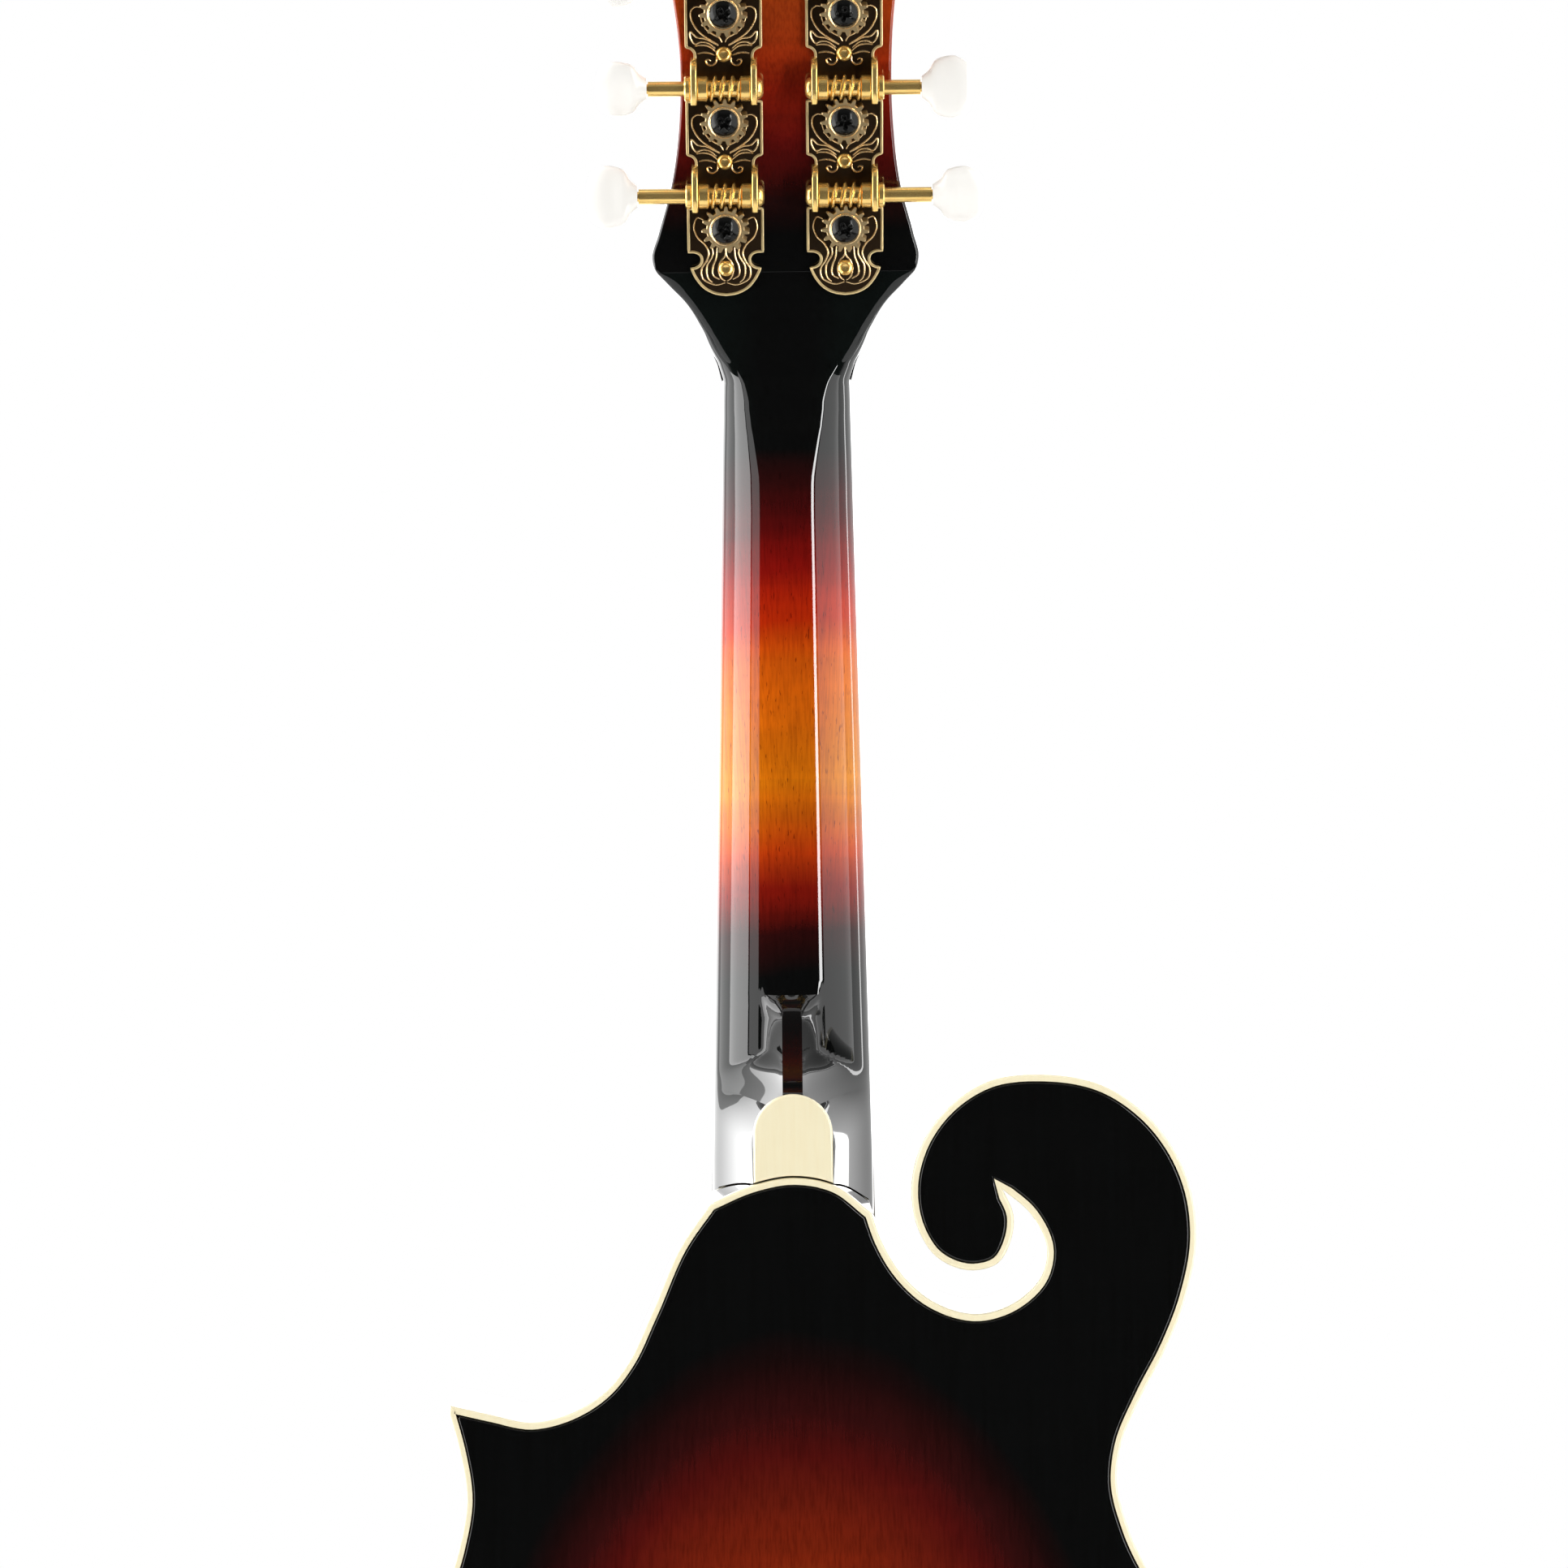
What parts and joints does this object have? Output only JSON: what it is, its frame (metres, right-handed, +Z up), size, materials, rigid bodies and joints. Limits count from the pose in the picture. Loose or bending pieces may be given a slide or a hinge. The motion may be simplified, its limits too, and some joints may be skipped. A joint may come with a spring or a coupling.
{
  "type": "f-style mandolin",
  "caption": "Carved-top mandolin with a scroll, two body points, arched bound plates, worm-geared tuners, adjustable bridge and tailpiece.",
  "frame": {"origin": "nut end of the fingerboard on the centreline, in the glue plane between neck and fingerboard, where the headstock's flare hangs on a wall hanger", "axes": "+Z up from the body to the headstock, +Y the back of the instrument, +X the treble side with the points"},
  "size_m": [0.25, 0.1111, 0.6889],
  "materials": {
    "lacquered_back": "high gloss sunburst lacquer",
    "lacquered_sides": "high gloss dark lacquer",
    "lacquered_neck": "high gloss sunburst lacquer",
    "spruce_top": "high gloss sunburst lacquer",
    "bare_wood": "bare",
    "ebony": "satin",
    "fingerboard": "satin",
    "ivory_binding": "gloss",
    "pearloid": "gloss",
    "bone": "satin",
    "gold_metal": "polished",
    "antique_metal": "antique",
    "engraved_metal": "antique, engraved",
    "steel": "bare",
    "plain_string": "bare",
    "wound_string": "wound"
  },
  "bodies": {
    "root": {"top_plate": "spruce_top", "back_plate": "lacquered_back", "head_block": "lacquered_sides", "tail_block": "bare_wood", "rib_bass": "lacquered_sides", "rib_cutaway": "lacquered_sides", "rib_waist": "lacquered_sides", "rib_treble": "lacquered_sides", "tone_bar_bass": "bare_wood", "tone_bar_treble": "bare_wood", "top_binding": "ivory_binding", "back_binding": "ivory_binding", "neck": "lacquered_neck", "heel_cap": "ivory_binding", "truss_rod": "steel", "truss_rod_cover": "ebony", "headstock_overlay": "ebony", "fingerboard": "fingerboard", "nut": "bone", "bridge_base": "ebony", "tailpiece_base": "gold_metal", "end_pin": "ebony", "tuner_plate_bass": "engraved_metal", "tuner_plate_treble": "engraved_metal", "string_g1": "wound_string", "string_g2": "wound_string", "string_d1": "wound_string", "string_d2": "wound_string", "string_a1": "plain_string", "string_a2": "plain_string", "string_e1": "plain_string", "string_e2": "plain_string"},
    "bridge_saddle": {"bridge_saddle": "ebony"},
    "bridge_wheel_bass": {"bridge_wheel_bass": "gold_metal"},
    "bridge_wheel_treble": {"bridge_wheel_treble": "gold_metal"},
    "tailpiece_cover": {"tailpiece_cover": "gold_metal"},
    "worm_bass_1": {"worm_shaft_bass_1": "gold_metal", "button_bass_1": "pearloid"},
    "post_bass_1": {"gear_post_bass_1": "antique_metal"},
    "worm_bass_2": {"worm_shaft_bass_2": "gold_metal", "button_bass_2": "pearloid"},
    "post_bass_2": {"gear_post_bass_2": "antique_metal"},
    "worm_bass_3": {"worm_shaft_bass_3": "gold_metal", "button_bass_3": "pearloid"},
    "post_bass_3": {"gear_post_bass_3": "antique_metal"},
    "worm_bass_4": {"worm_shaft_bass_4": "gold_metal", "button_bass_4": "pearloid"},
    "post_bass_4": {"gear_post_bass_4": "antique_metal"},
    "worm_treble_1": {"worm_shaft_treble_1": "gold_metal", "button_treble_1": "pearloid"},
    "post_treble_1": {"gear_post_treble_1": "antique_metal"},
    "worm_treble_2": {"worm_shaft_treble_2": "gold_metal", "button_treble_2": "pearloid"},
    "post_treble_2": {"gear_post_treble_2": "antique_metal"},
    "worm_treble_3": {"worm_shaft_treble_3": "gold_metal", "button_treble_3": "pearloid"},
    "post_treble_3": {"gear_post_treble_3": "antique_metal"},
    "worm_treble_4": {"worm_shaft_treble_4": "gold_metal", "button_treble_4": "pearloid"},
    "post_treble_4": {"gear_post_treble_4": "antique_metal"}
  },
  "joints": [
    {"name": "button_turn_bass_1", "type": "hinge", "parent": "root", "child": "worm_bass_1", "pos_m": [-0.0143, 0.03268, 0.0407], "axis": [1, 0, 0], "continuous": true},
    {"name": "post_turn_bass_1", "type": "hinge", "parent": "root", "child": "post_bass_1", "pos_m": [-0.0143, 0.02595, 0.03457], "axis": [0, 0.9511, -0.309], "continuous": true},
    {"name": "button_turn_bass_2", "type": "hinge", "parent": "root", "child": "worm_bass_2", "pos_m": [-0.0143, 0.04071, 0.06542], "axis": [1, 0, 0], "continuous": true},
    {"name": "post_turn_bass_2", "type": "hinge", "parent": "root", "child": "post_bass_2", "pos_m": [-0.0143, 0.03399, 0.0593], "axis": [0, 0.9511, -0.309], "continuous": true},
    {"name": "button_turn_bass_3", "type": "hinge", "parent": "root", "child": "worm_bass_3", "pos_m": [-0.0143, 0.04874, 0.09015], "axis": [1, 0, 0], "continuous": true},
    {"name": "post_turn_bass_3", "type": "hinge", "parent": "root", "child": "post_bass_3", "pos_m": [-0.0143, 0.04202, 0.08403], "axis": [0, 0.9511, -0.309], "continuous": true},
    {"name": "button_turn_bass_4", "type": "hinge", "parent": "root", "child": "worm_bass_4", "pos_m": [-0.0143, 0.05678, 0.11488], "axis": [1, 0, 0], "continuous": true},
    {"name": "post_turn_bass_4", "type": "hinge", "parent": "root", "child": "post_bass_4", "pos_m": [-0.0143, 0.05006, 0.10875], "axis": [0, 0.9511, -0.309], "continuous": true},
    {"name": "button_turn_treble_1", "type": "hinge", "parent": "root", "child": "worm_treble_1", "pos_m": [0.0143, 0.03268, 0.0407], "axis": [1, 0, 0], "continuous": true},
    {"name": "post_turn_treble_1", "type": "hinge", "parent": "root", "child": "post_treble_1", "pos_m": [0.0143, 0.02595, 0.03457], "axis": [0, 0.9511, -0.309], "continuous": true},
    {"name": "button_turn_treble_2", "type": "hinge", "parent": "root", "child": "worm_treble_2", "pos_m": [0.0143, 0.04071, 0.06542], "axis": [1, 0, 0], "continuous": true},
    {"name": "post_turn_treble_2", "type": "hinge", "parent": "root", "child": "post_treble_2", "pos_m": [0.0143, 0.03399, 0.0593], "axis": [0, 0.9511, -0.309], "continuous": true},
    {"name": "button_turn_treble_3", "type": "hinge", "parent": "root", "child": "worm_treble_3", "pos_m": [0.0143, 0.04874, 0.09015], "axis": [1, 0, 0], "continuous": true},
    {"name": "post_turn_treble_3", "type": "hinge", "parent": "root", "child": "post_treble_3", "pos_m": [0.0143, 0.04202, 0.08403], "axis": [0, 0.9511, -0.309], "continuous": true},
    {"name": "button_turn_treble_4", "type": "hinge", "parent": "root", "child": "worm_treble_4", "pos_m": [0.0143, 0.05678, 0.11488], "axis": [1, 0, 0], "continuous": true},
    {"name": "post_turn_treble_4", "type": "hinge", "parent": "root", "child": "post_treble_4", "pos_m": [0.0143, 0.05006, 0.10875], "axis": [0, 0.9511, -0.309], "continuous": true},
    {"name": "bridge_lower", "type": "slide", "parent": "root", "child": "bridge_saddle", "axis": [0, 1, 0], "range_m": [0, 0.0025]},
    {"name": "wheel_turn_bass", "type": "hinge", "parent": "bridge_saddle", "child": "bridge_wheel_bass", "pos_m": [-0.03, -0.02904, -0.34867], "axis": [0, 1, 0], "range_deg": [0, 1125]},
    {"name": "wheel_turn_treble", "type": "hinge", "parent": "bridge_saddle", "child": "bridge_wheel_treble", "pos_m": [0.03, -0.02904, -0.34867], "axis": [0, 1, 0], "range_deg": [0, 1125]},
    {"name": "cover_slide", "type": "slide", "parent": "root", "child": "tailpiece_cover", "axis": [0, 0, 1], "range_m": [0, 0.012]}
  ],
  "couplings": [
    {"joint": "post_turn_bass_1", "follows": "button_turn_bass_1", "ratio": 0.066667},
    {"joint": "post_turn_bass_2", "follows": "button_turn_bass_2", "ratio": 0.066667},
    {"joint": "post_turn_bass_3", "follows": "button_turn_bass_3", "ratio": 0.066667},
    {"joint": "post_turn_bass_4", "follows": "button_turn_bass_4", "ratio": 0.066667},
    {"joint": "post_turn_treble_1", "follows": "button_turn_treble_1", "ratio": 0.066667},
    {"joint": "post_turn_treble_2", "follows": "button_turn_treble_2", "ratio": 0.066667},
    {"joint": "post_turn_treble_3", "follows": "button_turn_treble_3", "ratio": 0.066667},
    {"joint": "post_turn_treble_4", "follows": "button_turn_treble_4", "ratio": 0.066667},
    {"joint": "wheel_turn_bass", "follows": "bridge_lower", "rad_per_m": 7854},
    {"joint": "wheel_turn_treble", "follows": "bridge_lower", "rad_per_m": 7854}
  ]
}
